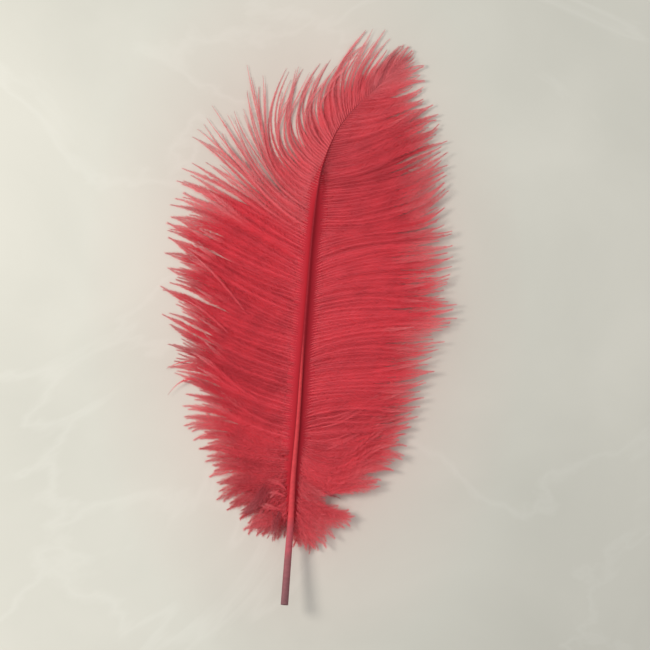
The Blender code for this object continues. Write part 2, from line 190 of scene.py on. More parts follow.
# The share of its length at which a strand has come down to its tip's height.
LANDS = {LEFT: ((34, 0.88), (50, 0.42), (106, 0.42), (116, 0.8)), RIGHT: ((0, 0.88),)}
# The height of the strands' tips, by the tip's Y: the left ones lie on the stone, the right ones float.
TIP_HEIGHT = {
    LEFT: ((-120, 0.4), (-60, 0.6), (0, 0.5), (80, 0.4), (145, 0.9)),
    RIGHT: ((-120, 3.6), (-90, 4.8), (-40, 4.2), (40, 4.2), (100, 2.6), (135, 2.0)),
}
# The share of its length at which a strand parts from its neighbours.
PARTS = {
    LEFT: ((-100, 0.8), (-70, 0.84), (0, 0.85), (34, 0.8), (41, 0.46), (56, 0.3), (64, 0.36), (78, 0.44),
           (95, 0.46), (106, 0.5), (114, 0.8), (122, 0.86)),
    RIGHT: ((-100, 0.8), (-70, 0.83), (0, 0.84), (60, 0.76), (104, 0.7), (114, 0.8), (122, 0.84)),
}
# How slender and open the strands are, from 0 to 1.
SLENDER = {LEFT: ((34, 0), (44, 1), (104, 1), (114, 0.3)), RIGHT: ((60, 0), (100, 0.5), (114, 0.3))}

# ---- barbs and barbules

SEED = 11
BARB_PITCH = 1.35  # along the shaft
FAN_PITCH = 1.95  # halfway out, where they fan apart
SLENDER_APART, DOWNY_CLOSER = 0.45, 0.45  # how much wider and closer that is in slender strands and in down
DOWNY_COVER = 0.86  # the size and number of barbules in the down, as a share of the others'
DOWNY_FROM, DOWNY_FULL = -45, -85  # the down by the quill begins at the first of these Ys
TIP_UNCROSSED = 100  # past this Y no barb crosses its neighbours
STATIONS = 28  # cross-sections of a ramus
STRAND_PULL, SLENDER_PULL, DOWNY_PULL = 0.87, 0.96, 0.1  # how far a barb is drawn to its strand
# More barbs lie across their neighbours: their share, their pull, and how far to their right they end.
CROSSING, DOWNY_CROSSING = {LEFT: 0.26, RIGHT: 0.15}, 0.3
CROSSING_PULL, ASIDE = 0.2, {LEFT: 6, RIGHT: -2}
# How barbs differ: in length, as a share of it, sideways, in height and in tone.
SHORTER, CROSSING_SHORTER, CROSSING_VARIES, DOWNY_LONGER = 0.16, 0.05, 0.1, 0.04
STRAND_SWING, BROAD_SWING, BARB_WAVER, BARB_SHIFT = 0.22, 0.45, 0.24, 0.36
STRAND_RISE, BROAD_RISE, BARB_RISE, CROSSING_RISE = 0.35, 0.35, 0.24, 0.9
STRAND_TONE, BROAD_TONE, BARB_TONE = 0.13, 0.12, 0.11
# Painted light: the right vane's higher tone lifts the side that slopes away from the light, and slender
# strands' added tone offsets their shade.
TONE_AND_PAINTED_LIGHT, SLENDER_PAINTED_LIGHT, MOTTLE_TONE = {LEFT: 0.5, RIGHT: 0.7}, 0.25, 0.1
# How pale barbs are at first and at most, and how much more so if slender, downy or past a Y near the tip.
# On the right the higher first paleness is partly painted light, for light the stone throws up under the
# raised vane.
PALE, PALEST = {LEFT: 0.05, RIGHT: 0.08, LOOSE: 0.05}, {LEFT: 1, RIGHT: 0.64, LOOSE: 1}
SLENDER_PALE, DOWNY_PALE, TIP_PALE = 0.2, 0.1, 0.34
TIP_PALE_FROM, TIP_PALE_OVER = 106, 8
# The stretch of a barb that stands alone, over what lies past its parting, with its least and most.
ALONE, ALONE_LEAST, ALONE_MOST = 1.15, 11, 38
HEADING_SPAN = 0.6  # headings are read this far to either side

BAND = 4  # smooth strip beside the shaft, where the barbs' flat bases lie edge to edge
BAND_COLUMNS = (0, 0.35, 1, 2.2, 3.6, 5, 6.4)
# Painted shade in the groove beside the shaft, darkest at the band's inner edge, by column:
BAND_GROOVE_PAINTED_SHADE = (1, 1, 0.3, 0.1, 0, 0, 0, 0)
BAND_PALE = (0, 0, 0, 0.1, 0.4, 0.7, 0.9, 1)
# Painted light and shade on the band: its left side, facing the light, is lighter, and its right, facing
# away, darker.
BAND_PAINTED_LIGHT_AND_SHADE, BAND_SIDE_PAINTED_SHADE = {LEFT: 0.15, RIGHT: 0, LOOSE: 0}, {LEFT: 0.06, RIGHT: 0.34}
BAND_CLIMBS_AT = (-32, -8)  # between these Ys the band comes to lie over the shaft's shoulders
BAND_OVER_SHAFT, BAND_BESIDE_SHAFT = 0.42, 0.25  # how high it lies there, in the shaft's diameters
BAND_EDGE_DROP, BAND_END_DROP = 0.3, 0.8
BAND_STOPS_AT = (46, 86)
# How much of the band's colour, with its painted light and shade, barbs keep, how many times that on a ramus,
# and how far along.
TINGE, RAMUS_TINGE = {LEFT: 0.35, RIGHT: 0.9, LOOSE: 0}, {LEFT: 2.4, RIGHT: 1, LOOSE: 1}
TINGE_FROM, TINGE_OVER = 1.2, 4.2
RAMUS_WIDTH, RAMUS_TIP = 0.38, 0.08
RAMUS_HEIGHT, RAMUS_LOWERS = 0.3, 0.8  # and the share gone at the tip
RAMUS_DEPTH = 0.45  # how far below the band it starts
DARK_TIP = 5  # the stretch at its tip that grows darker

BARBULES_PER_MM = 27  # both rows together
BARBULE_WIDTH, BARBULE_LENGTH, DOWNY_LENGTH = 0.125, 3.3, 1.3  # and how much longer in the down
BARBULE_LEAN, DOWNY_LEAN = ((0, 20), (5, 29), (12, 34), (30, 33)), 14  # degrees, by the distance from the tip
# How they tilt up or down, in radians, by the distance from the root, and how much that differs.
TILT = {
    LEFT: ((0, -0.6), (6, -0.5), (15, 0), (26, 0.24)),
    RIGHT: ((0, -0.6), (9, -0.5), (26, 0), (40, 0.24)),
}
TILT_VARIES, DOWNY_TILT, ROLL_VARIES = 0.38, 0.25, 0.5
BENT_NEAR_TIP = 14  # nearer a barb's tip than this its barbules are bent slivers, else single triangles
# The matted barbules low between the rami, and where along the barb they end.
WEB_WIDTH, WEB_DROP, WEB_STATIONS = 2.8, 0.7, 18
WEB_BEFORE_PARTING, WEB_ENDS, DOWNY_WEB_ENDS = 0.03, 0.78, 0.2
FLOOR_GAP = 0.06  # the lowest that a barb or barbule lies
TIP_COVER = 0.62  # the barbules near a barb's tip, as a share of the others
MOST_FACES, BARB_FACES = 185000, 220  # triangles in one piece, and of a barb without its barbules, about
THINNED = 0.25  # the share of barbules lost where a barb stands alone, about
DYED_BARBULES, DYED_RAMI_PAINTED_SHEEN, DYED_BAND_PAINTED_SHADE = 0, 1, 2  # places in barb_materials()


def ease(share):
    share = np.clip(share, 0, 1)
    return share * share * (3 - 2 * share)


def curve_at(place, pairs):
    """A curve's value at a place."""
    places, values = zip(*pairs)
    return np.interp(place, places, values)


def unit(vectors):
    return vectors / np.maximum(np.linalg.norm(vectors, axis=-1, keepdims=True), 1e-12)


def shaft_at(y):
    """The shaft's centres, unit headings and diameters at these Ys, on a smooth curve."""
    y = np.asarray(y, float)
    last = len(SHAFT) - 2
    i = np.clip(np.searchsorted(SHAFT[:, 1], y, side="right") - 1, 0, last)
    before, start, end, after = (SHAFT[np.clip(i + k, 0, last + 1)] for k in (-1, 0, 1, 2))
    span = (end - start)[..., 1:2]
    u = (y - start[..., 1])[..., None] / span
    slope_in = (end - before) / (end - before)[..., 1:2] * span
    slope_out = (after - start) / (after - start)[..., 1:2] * span
    place = (start * (2 * u**3 - 3 * u**2 + 1) + slope_in * (u**3 - 2 * u**2 + u)
             + end * (3 * u**2 - 2 * u**3) + slope_out * (u**3 - u**2))
    heading = (start * (6 * u**2 - 6 * u) + slope_in * (3 * u**2 - 4 * u + 1)
               + end * (6 * u - 6 * u**2) + slope_out * (3 * u**2 - 2 * u))
    return place[..., :3], unit(heading[..., :3]), place[..., 3]


def rows_between(rows, c):
    """Rows read at fractional places c, on straight lines between them."""
    low = np.clip(np.floor(c).astype(int), 0, len(rows) - 2)
    share = (c - low)[:, None]
    return rows[low] * (1 - share) + rows[low + 1] * share


def with_headings(rows, side):
    """Rows of a root's Y, a tip's X and Y, and the ways the strand sets out and ends."""
    root_y = rows[:, 0]
    ends = rows[:, 3] + curve_at(root_y, TURN[side])
    return np.column_stack([rows[:, :3], curve_at(root_y, SETS_OUT[side]), ends])


def right_strands():
    upper = np.column_stack([curve_at(RIGHT_UPPER[:, 1], RIGHT_ROOTED), RIGHT_UPPER])
    return np.vstack([upper, RIGHT_LOWER])


def level_left(heading):
    return unit(np.stack([-heading[..., 1], heading[..., 0], 0 * heading[..., 0]], -1))


def strand_curves(rows, side, t):
    """Points along each row's strand, at shares t of its length: rows x t x 3."""
    centre, heading, diameter = shaft_at(rows[:, 0])
    root = centre + level_left(heading) * side * ROOT_INSET * diameter[:, None]
    tip = rows[:, 1:3]
    reach = np.linalg.norm(tip - root[:, :2], axis=1)[:, None]
    sets_out, ends = (np.radians(rows[:, k]) for k in (3, 4))
    p0, p3 = root[:, None, :2], tip[:, None]
    bow_start = curve_at(rows[:, :1], FIRST_BOW[side])
    bow_end = curve_at(rows[:, :1], LAST_BOW[side])
    p1 = p0 + (bow_start * reach * np.stack([np.cos(sets_out), np.sin(sets_out)], 1))[:, None]
    p2 = p3 - (bow_end * reach * np.stack([np.cos(ends), np.sin(ends)], 1))[:, None]
    s = t[..., None]
    plan = p0 * (1 - s) ** 3 + 3 * p1 * s * (1 - s) ** 2 + 3 * p2 * s * s * (1 - s) + p3 * s**3
    z0 = root[:, 2:3]
    tip_z = curve_at(tip[:, 1], TIP_HEIGHT[side])[:, None]
    drop = RIDGE_DROP * np.minimum(1, z0 / RIDGE_FULL) * (1 - np.exp(-t * reach / RIDGE_WIDTH))
    lands = curve_at(rows[:, :1], LANDS[side])
    height = z0 - drop + (tip_z - z0 + drop) * ease(t / lands)
    return np.concatenate([plan, height[..., None]], 2)


def even_places(rows, side):
    """Fractional row places that are a pitch apart, at the shaft or halfway out, whichever is closer."""
    c = np.linspace(-0.5, len(rows) - 0.5, 3000)  # far finer than a pitch
    curves = strand_curves(rows_between(rows, c), side, np.tile([0.0, 0.5], (len(c), 1)))
    root_y = rows_between(rows, c[1:])[:, 0]
    slender = curve_at(root_y, SLENDER[side])
    steps = np.linalg.norm(np.diff(curves, axis=0), axis=2) / (BARB_PITCH, FAN_PITCH)
    steps[:, 1] *= (1 + DOWNY_CLOSER * downiness(root_y)) / (1 + SLENDER_APART * slender)
    along = np.concatenate([[0], np.cumsum(steps.max(axis=1))])
    return np.interp(np.arange(0.5, along[-1], 1.0), along, c)


def smooth_noise(rng, count, reach, width=1):
    """Noise of about one, alike over this many neighbours."""
    raw = rng.normal(0, 1, (count + 6 * reach, width))
    weights = np.exp(-0.5 * (np.arange(-3 * reach, 3 * reach + 1) / reach) ** 2)
    out = np.stack([np.convolve(raw[:, k], weights, "valid") for k in range(width)], 1)[:count]
    return out / np.sqrt((weights**2).sum())


def mottle(points):
    """Slow clouds of about one over the vanes."""
    x, y = points[..., 0], points[..., 1]
    waves = ((0.31, 0.17, 1.1), (-0.13, 0.37, 4.0), (0.47, -0.29, 2.2), (0.19, 0.61, 5.3), (-0.52, 0.44, 0.6))
    return sum(np.sin(a * x + b * y + c) for a, b, c in waves) / 1.6


def downiness(y):
    return ease((DOWNY_FROM - y) / (DOWNY_FROM - DOWNY_FULL))


def band_stops(y):
    return ease((y - BAND_STOPS_AT[0]) / (BAND_STOPS_AT[1] - BAND_STOPS_AT[0]))


def add_object(name, data):
    thing = bpy.data.objects.new(name, data)
    bpy.context.scene.collection.objects.link(thing)
    return thing


class Barb:
    """One barb: its path, with what is asked of it at distances along it."""

    # A barb's dark is a painted shade over its colour, for down that lies in shadow.
    def __init__(self, path, parts, downy, slender, tone, crossing=False, side=LOOSE, dark=0.0, cover=1.0):
        self.path, self.parts, self.downy, self.slender, self.tone = path, parts, downy, slender, tone
        self.crossing, self.side, self.dark, self.cover = crossing, side, dark, cover
        steps = np.linalg.norm(np.diff(path, axis=0), axis=1)
        self.at = np.concatenate([[0], np.cumsum(steps)])
        self.length = self.at[-1]
        self.banded = 1 - band_stops(path[0, 1])
        # The stretch at its root without barbules, and the one at its tip that stands alone.
        self.bare = min(0.6 * BAND, 0.3 * self.length) * self.banded + 0.2
        least = min(ALONE_LEAST, 0.6 * self.length)
        self.loose = np.clip(ALONE * (1 - parts) * self.length, least, ALONE_MOST)

    def frame(self, s):
        """Points, unit headings, level left-hand vectors and upward vectors at distances s."""
        point, ahead, behind = (np.stack([np.interp(s + d, self.at, self.path[:, k]) for k in range(3)], 1)
                                for d in (0, HEADING_SPAN, -HEADING_SPAN))
        heading = unit(ahead - behind)
        left = level_left(heading)
        return point, heading, left, np.cross(heading, left)

    def pale(self, s):
        base = PALE[self.side] + SLENDER_PALE * self.slender + DOWNY_PALE * self.downy
        base = base + TIP_PALE * abs(self.side) * ease((self.path[0, 1] - TIP_PALE_FROM) / TIP_PALE_OVER)
        most = (1 - 0.5 * self.downy) * PALEST[self.side]
        return base + (1 - base) * most * ease(1 - (self.length - s) / (1.5 * self.loose))

    def root(self, s):
        """How far the barb still has the colour of the band beside the shaft, with the band's painted light
        and shade.
        """
        return TINGE[self.side] * (1 - ease((s - TINGE_FROM) / TINGE_OVER)) * self.banded

    def tones(self, s):
        tone = np.clip(self.tone + MOTTLE_TONE * mottle(self.frame(s)[0]), 0, 1)
        return tone + (BAND_PAINTED_LIGHT_AND_SHADE[self.side] - tone) * self.root(s)

    def colours(self, s, times):
        """What colours are mixed by at distances s, for this many points each."""
        values = {"pale": self.pale(s), "tone": self.tones(s), "root": self.root(s)}
        return {name: np.repeat(value, times) for name, value in values.items()}


def vane_barbs(rows, side, rng):
    """The barbs of one vane, from its tip down."""
    c = even_places(rows, side)
    root_y = rows_between(rows, c)[:, 0]
    share = (CROSSING[side] + DOWNY_CROSSING * downiness(root_y)) * (root_y < TIP_UNCROSSED)
    added = c[rng.random(len(c)) < share] + 0.01
    crossing = np.repeat([False, True], [len(c), len(added)])
    c = np.concatenate([c, added])
    order = np.argsort(c)
    c, crossing = c[order], crossing[order]
    count = len(c)
    row = np.clip(np.rint(c).astype(int), 0, len(rows) - 1)
    off = c - row
    root_y = rows_between(rows, c)[:, 0]
    downy = downiness(root_y)
    slender = curve_at(root_y, SLENDER[side])
    parts = curve_at(root_y, PARTS[side])
    parts = parts + 0.06 * smooth_noise(rng, len(rows), 1)[row, 0]
    parts = np.clip(parts, 0.35, 0.9)[:, None]
    shift = rng.normal(0, 1, (len(rows), 4))[row]
    broad = smooth_noise(rng, len(rows), 2, 4)[row]

    length = 1.0 + DOWNY_LONGER * downy - SHORTER * rng.random(count) ** 2
    length = np.where(crossing, length - CROSSING_SHORTER - CROSSING_VARIES * rng.random(count), length)
    if side == RIGHT:
        lowest = np.where(crossing, NOTCH_CROSSING, NOTCH[0])
        length = np.where((root_y > lowest) & (root_y < NOTCH[1]), NOTCH_REACH * length, length)
    t = np.linspace(0, 1, STATIONS)[None] * length[:, None]
    loose = strand_curves(rows_between(rows, c), side, t)
    strand = strand_curves(rows[row], side, t)
    most = STRAND_PULL + (SLENDER_PULL - STRAND_PULL) * slender + (DOWNY_PULL - STRAND_PULL) * downy
    most = np.where(crossing, CROSSING_PULL, most)[:, None]
    pull = (most * ease((t - parts) / (1.0 - parts)))[..., None]
    paths = loose + (strand - loose) * pull

    # Strands swing a little to either side, and each barb wavers by itself.
    heading = np.gradient(paths, axis=1)
    swing = STRAND_SWING * shift[:, :1] + BROAD_SWING * broad[:, :1]
    swing = swing * (0.6 - 0.4 * downy[:, None]) * ease(t / 0.9)
    phase, amount = rng.random((count, 1)), rng.normal(0, BARB_WAVER, (count, 1))
    waver = amount * (1 + 2.4 * downy[:, None]) * np.sin(2 * pi * (1.4 * t + phase)) * ease(t / 0.35)
    waver = waver + np.clip(rng.normal(0, BARB_SHIFT, (count, 1)), -0.7, 0.7) * ease(t / 0.13)
    aside = rng.normal(0, 1, count) * np.where(crossing, 4.0, 0.5 + 2.2 * downy) * (1 - 0.5 * slender)
    aside = (aside - ASIDE[side] * crossing)[:, None]
    aside = aside * ease((t - 0.3) / 0.75) ** 1.3
    paths = paths + level_left(heading) * (swing + waver + aside)[..., None]

    # Some strands lie over their neighbours, and the vane rises and falls in broad waves.
    rise = STRAND_RISE * shift[:, 2:3] + BROAD_RISE * broad[:, 2:3] - 0.5 * off[:, None] ** 2
    rise = rise + rng.normal(0, BARB_RISE, (count, 1)) + np.where(crossing, CROSSING_RISE, 0.0)[:, None]
    paths[..., 2] += rise * ease(t / 0.2) * (1 - 0.5 * ease((t - 0.7) / 0.3))
    paths[..., 2] = np.maximum(paths[..., 2], FLOOR_GAP + 0.1)
    tones = TONE_AND_PAINTED_LIGHT[side] + SLENDER_PAINTED_LIGHT * slender + STRAND_TONE * shift[:, 3] + BROAD_TONE * broad[:, 3]
    tones = tones + BARB_TONE * rng.normal(0, 1, count)
    covers = 1 - (1 - DOWNY_COVER) * downy
    return [Barb(*values, side=side, cover=cover)
            for *values, cover in zip(paths, parts[:, 0], downy, slender, tones, crossing, covers)]


def loose_barbs(rng):
    """The strays, and the short down by the quill."""
    t = np.linspace(0, 1, STATIONS)[:, None]
    barbs = []
    for start, middle, tip, height, count, *dark in STRAYS + DOWN:
        start, middle, tip = (np.array(place) for place in (start, middle, tip))
        handle = 2 * middle - (start + tip) / 2
        for k in range(count):
            lift = rng.normal(0, 0.25)
            spread = rng.normal(0, 1.2, (3, 2)) if count > 1 else np.zeros((3, 2))
            plan = ((start + spread[0]) * (1 - t) ** 2 + 2 * (handle + spread[1]) * t * (1 - t)
                    + (tip + spread[2]) * t**2)
            z = height + lift - (0.35 * height + 0.4) * t**2 - 0.8 * (1 - t) ** 3
            path = np.concatenate([plan, np.maximum(z, FLOOR_GAP + 0.1)], 1)
            downy, slender, cover = (0.8, 0.0, 0.7) if dark else (0.0, 0.5, 0.6)
            tone = 0.7 + rng.normal(0, 0.1)
            barbs.append(Barb(path, 0.7, downy, slender, tone, dark=dark[0] if dark else 0.0, cover=cover))
    return barbs


class Tangle:
    """Faces of many small parts, gathered for one piece of these barbs."""

    def __init__(self, barbs):
        self.barbs = barbs
        self.rows = 2 * len(barbs) + 3  # lines on the UV map: barbules, then rami, then the band
        self.points, self.uvs, self.count = [], [], 0
        self.faces = {3: [], 4: []}
        self.kinds = {3: [], 4: []}
        self.values = {"pale": [], "reach": [], "tone": [], "dark": [], "root": []}

    def add(self, points, faces, kind, u, v, **values):
        """v is in lines of the UV map."""
        self.points.append(points)
        corners = faces.shape[1]
        self.faces[corners].append(faces + self.count)
        self.kinds[corners].append(np.full(len(faces), kind))
        self.uvs.append(np.stack([np.clip(u, 0, 1), v / self.rows], 1))
        for name, gathered in self.values.items():
            gathered.append(np.broadcast_to(values.get(name, 0.0), len(points)))
        self.count += len(points)

    def build(self, name, materials):
        points = np.concatenate(self.points)
        sets = [np.concatenate(self.faces[size]) for size in (3, 4)]
        corners = np.concatenate([faces.ravel() for faces in sets]).astype(np.int32)
        sizes = np.repeat((3, 4), [len(faces) for faces in sets])
        kinds = np.concatenate(self.kinds[3] + self.kinds[4]).astype(np.int32)
        mesh = bpy.data.meshes.new(name)
        mesh.vertices.add(len(points))
        mesh.vertices.foreach_set("co", (points * MM).ravel())
        mesh.loops.add(len(corners))
        mesh.loops.foreach_set("vertex_index", corners)
        mesh.polygons.add(len(sizes))
        mesh.polygons.foreach_set("loop_start", (np.cumsum(sizes) - sizes).astype(np.int32))
        mesh.polygons.foreach_set("material_index", kinds)
        layer = mesh.uv_layers.new(name="OFBake")
        layer.uv.foreach_set("vector", np.concatenate(self.uvs)[corners].astype(np.float32).ravel())
        for key, values in self.values.items():
            attribute = mesh.attributes.new(key, "FLOAT", "POINT")
            attribute.data.foreach_set("value", np.concatenate(values).astype(np.float32))
        mesh.update(calc_edges=True)
        mesh.validate()
        for material in materials:
            mesh.materials.append(material)
        mesh.shade_smooth()
        return add_object(name, mesh)

    def add_ramus(self, index, rooted):
        """A three-sided tapering ramus, which comes out of the band."""
        barb = self.barbs[index]
        s = barb.length * np.linspace(0, 1, STATIONS)
        share = s / barb.length
        point, _, left, up = barb.frame(s)
        if rooted:
            comes_up = 1.2 + 1.6 * (barb.tone * 7.3 % 1)
            deep = RAMUS_DEPTH * barb.banded
            point = point - up * (deep * (1 - ease((s - comes_up) / (BAND - 1))))[:, None]
        slim = RAMUS_WIDTH + (RAMUS_TIP - RAMUS_WIDTH) * share**0.7
        width, height = slim[:, None] / 2, (RAMUS_HEIGHT * (1 - RAMUS_LOWERS * share))[:, None] / 2
        corners = np.stack([point + left * width - up * height, point + up * height,
                            point - left * width - up * height], 1)
        k = np.arange(STATIONS - 1)[:, None] * 3
        quads = np.concatenate([k + np.array([b, a, a + 3, b + 3]) for a, b in ((0, 1), (1, 2), (2, 0))])
        line = len(self.barbs) + index + 0.5 + np.array([-0.35, 0.0, 0.35])
        # Rami darken towards their tips, and take the painted shade of down that lies in shadow.
        dark = np.maximum(ease(1 - (barb.length - s) / DARK_TIP) * (1 - 0.6 * barb.downy), 0.7 * barb.dark)
        colours = barb.colours(s, 3)
        colours["root"] = np.minimum(1, colours["root"] * RAMUS_TINGE[barb.side])
        self.add(corners.reshape(-1, 3), quads, DYED_RAMI_PAINTED_SHEEN, np.repeat(share, 3), np.tile(line, STATIONS),
                 dark=np.repeat(dark, 3), **colours)

    def add_web(self, index):
        """The matted barbules that fill the space between a barb and the next, low down."""
        barb = self.barbs[index]
        end = barb.length * min(barb.parts - WEB_BEFORE_PARTING, WEB_ENDS - DOWNY_WEB_ENDS * barb.downy)
        s = np.linspace(barb.bare, end, WEB_STATIONS)
        point, _, left, up = barb.frame(s)
        starts = np.maximum(ease((s - barb.bare + 0.5) / 4), band_stops(barb.path[0, 1]))
        width = (WEB_WIDTH / 2 * ease((end - s) / 12) * starts)[:, None] + 0.02
        base = point - up * WEB_DROP
        base[:, 2] = np.maximum(base[:, 2], FLOOR_GAP)
        corners = np.stack([base + left * width, base - left * width], 1)
        quads = np.arange(WEB_STATIONS - 1)[:, None] * 2 + np.array([1, 3, 2, 0])
        line = index + 0.5 + np.array([0.3, -0.3])
        self.add(corners.reshape(-1, 3), quads, DYED_BARBULES, np.repeat(s / barb.length, 2),
                 np.tile(line, WEB_STATIONS), reach=0.3, **barb.colours(s, 2))

    def add_barbules(self, index, rng, rooted):
        """Two rows of barbules along a barb, each leaning towards the barb's tip."""
        barb = self.barbs[index]
        length, downy = barb.length, barb.downy
        bare = barb.bare + (0.9 * (barb.tone * 5.1 % 1) if barb.bare > 1 else 0.0) if rooted else 0.3
        n = int(BARBULES_PER_MM * barb.cover * (length - bare))
        s = bare + (length - bare - 0.2) * (np.arange(n) + rng.random(n)) / n
        thin = np.interp(length - s, [0, barb.loose], [TIP_COVER + 0.3 * downy - 0.14 * barb.slender, 1.0])
        s = s[rng.random(n) < thin]
        n = len(s)
        point, heading, left, up = barb.frame(s)
        share, from_tip = s / length, length - s

        size = (BARBULE_LENGTH + DOWNY_LENGTH * downy) * (0.6 + 0.65 * rng.random(n))
        size = size * (0.05 + 0.95 * barb.cover)
        size = size * (0.3 + 0.7 * ease((s - bare) / 4.5))
        size = size * (0.3 + 0.7 * ease((from_tip + 1) / (20 - 10 * downy)))
        size = size * (1 - 0.6 * barb.slender * ease(1.7 - from_tip / barb.loose))
        lean = curve_at(from_tip, BARBULE_LEAN) + DOWNY_LEAN * downy * ease((from_tip + 2) / 9)
        lean = np.radians(lean * (0.55 + 0.9 * rng.random(n)))
        hand = np.where(rng.random(n) < 0.5, 1.0, -1.0)
        tilt = rng.normal(0, TILT_VARIES + DOWNY_TILT * downy, n)
        if rooted:
            tilt = tilt + curve_at(s, TILT[barb.side])

        outwards = left * (hand * np.cos(tilt))[:, None] + up * np.sin(tilt)[:, None]
        first = heading * np.cos(lean)[:, None] + outwards * np.sin(lean)[:, None]
        bend = np.clip(lean * (rng.uniform(-0.1, 1.2, n) + downy * rng.normal(0, 0.5, n)), -0.5, 1.3)
        second = heading * np.cos(bend)[:, None] + outwards * np.sin(bend)[:, None]
        middle = point + first * (size * 0.5)[:, None]
        tip = middle + second * (size * 0.5)[:, None]

        # A barbule's flat side faces about upwards.
        roll = rng.normal(0, ROLL_VARIES, n)
        flat = unit(np.cross(up, first))
        edge = flat * np.cos(roll)[:, None] + np.cross(first, flat) * np.sin(roll)[:, None]
        edge = edge * np.where(np.cross(first, edge)[:, 2:] < 0, -1.0, 1.0)
        slim = 0.6 + 0.4 * ease(from_tip / 18)
        half = (BARBULE_WIDTH / 2 * (0.7 + 0.6 * rng.random(n)) * slim)[:, None]
        bent = (from_tip < BENT_NEAR_TIP) | (downy > 0.5)
        shapes = (
            (bent, (point, middle - edge * half, middle + edge * half, tip),
             (0.0, 0.5, 0.5, 1.0), (0.0, 0.14, 0.32, 0.46), ((0, 1, 2), (2, 1, 3))),
            (~bent, (point + edge * half, point - edge * half, tip),
             (0.0, 0.0, 1.0), (0.1, 0.02, 0.46), ((0, 1, 2),)),
        )
        for chosen, corners, reach, spread, sides in shapes:
            m, times = int(chosen.sum()), len(corners)
            if not m:
                continue
            points = np.stack([corner[chosen] for corner in corners], 1)
            points[..., 2] = np.maximum(points[..., 2], FLOOR_GAP)
            u = share[chosen, None] + (size / length)[chosen, None] * np.array(reach)
            v = index + 0.5 + hand[chosen, None] * np.array(spread)
            faces = (np.arange(m)[:, None, None] * times + np.array(sides)).reshape(-1, 3)
            # Barbules of down in shadow take part of its painted shade.
            self.add(points.reshape(-1, 3), faces, DYED_BARBULES, u.ravel(), v.ravel(),
                     reach=np.tile(reach, m), dark=0.6 * barb.dark, **barb.colours(s[chosen], times))

    def add_band(self, side):
        """The smooth strip of flat barb bases beside the shaft."""
        barbs = [barb for barb in self.barbs if not barb.crossing and barb.path[0, 1] < BAND_STOPS_AT[1] + 2]
        if len(barbs) < 2:
            return
        roots = np.array([barb.path[0] for barb in barbs])
        outwards = np.array(BAND_COLUMNS)
        columns, darks, pales = [], [], []
        for barb, root, diameter in zip(barbs, roots, shaft_at(roots[:, 1])[2]):
            climbs = ease((root[1] - BAND_CLIMBS_AT[0]) / (BAND_CLIMBS_AT[1] - BAND_CLIMBS_AT[0]))
            stops = band_stops(root[1])
            edge = (0.5 - ROOT_INSET) * diameter
            s = np.concatenate([[0.0], edge + outwards]) * min(1, 0.5 * barb.length / 8) * (1 - 0.8 * stops)
            point, _, _, up = barb.frame(s)
            lift = np.zeros(len(s))
            lift[:2] = BAND_OVER_SHAFT * diameter * climbs
            beside = BAND_BESIDE_SHAFT * diameter * climbs * (1 - ease(outwards[1:] / 2))
            lift[2:] = beside - BAND_EDGE_DROP * ease((outwards[1:] - 2.5) / 4)
            columns.append(point + up * (lift - BAND_END_DROP * stops)[:, None])
            # Painted shade: the groove beside the shaft, and on the right the side that faces away from the
            # light.
            shade = BAND_SIDE_PAINTED_SHADE[side] * (1 - np.array(BAND_PALE))
            darks.append(np.maximum(np.array(BAND_GROOVE_PAINTED_SHADE) * (1 - 0.6 * climbs), shade) * (1 - stops))
            pales.append(np.maximum(BAND_PALE, stops))
        grid = np.array(columns)
        rows, across = grid.shape[:2]
        k = (np.arange(rows - 1)[:, None] * across + np.arange(across - 1)).ravel()[:, None]
        quads = k + np.array([0, across, across + 1, 1] if side > 0 else [0, 1, across + 1, across])
        line = 2 * len(self.barbs) + 0.5 + np.linspace(0, 2, across)
        along = np.repeat(np.linspace(0, 1, rows), across)
        self.add(grid.reshape(-1, 3), quads, DYED_BAND_PAINTED_SHADE, along, np.tile(line, rows),
                 tone=BAND_PAINTED_LIGHT_AND_SHADE[side], dark=np.concatenate(darks), pale=np.concatenate(pales))


def make_vane(name, rows, side, rng, materials):
    """One vane's barbs, in as many pieces as the number of faces asks for."""
    barbs = vane_barbs(with_headings(rows, side), side, rng)
    bent = [barb.length if barb.downy > 0.5 else min(BENT_NEAR_TIP, barb.length) for barb in barbs]
    cost = [BARBULES_PER_MM * (barb.length - 2 + more - THINNED * barb.loose) + BARB_FACES
            for barb, more in zip(barbs, bent)]
    count = int(np.ceil(np.sum(cost) / MOST_FACES))
    cuts = np.searchsorted(np.cumsum(cost), np.sum(cost) * np.arange(1, count) / count)
    cuts = [next(k for k in range(cut, len(barbs)) if not barbs[k].crossing) for cut in cuts]
    pieces = []
    for k, (start, end) in enumerate(zip([0, *cuts], [*(cut + 1 for cut in cuts), len(barbs)])):
        # A piece ends on the first barb of the next, so that the band runs on without a gap.
        tangle = Tangle(barbs[start:end])
        for index in range(len(tangle.barbs) - (end < len(barbs))):
            tangle.add_ramus(index, True)
            if not tangle.barbs[index].crossing:
                tangle.add_web(index)
            tangle.add_barbules(index, rng, True)
        tangle.add_band(side)
        pieces.append(tangle.build(f"{name}_barbs_{k + 1}", materials))
    return pieces


def make_strays(rng, materials):
    tangle = Tangle(loose_barbs(rng))
    for index in range(len(tangle.barbs)):
        tangle.add_ramus(index, False)
        tangle.add_barbules(index, rng, False)
    return [tangle.build("stray_barbs", materials)]


# ---- the shaft

SHAFT_RINGS, SHAFT_SIDES = 60, 16
SHAFT_HIDDEN_FROM = 107.0  # past this Y the barbs close over it
SHAFT_END = 0.3  # the share left of the last ring's diameter
SHARP_FROM = 50  # degrees
HOLLOW_WALL, HOLLOW_DEPTH = 0.62, 1.6  # the cut end's bore as a share of its width, and how deep it goes


def to_mode(mode):
    bpy.ops.object.mode_set(mode=mode)


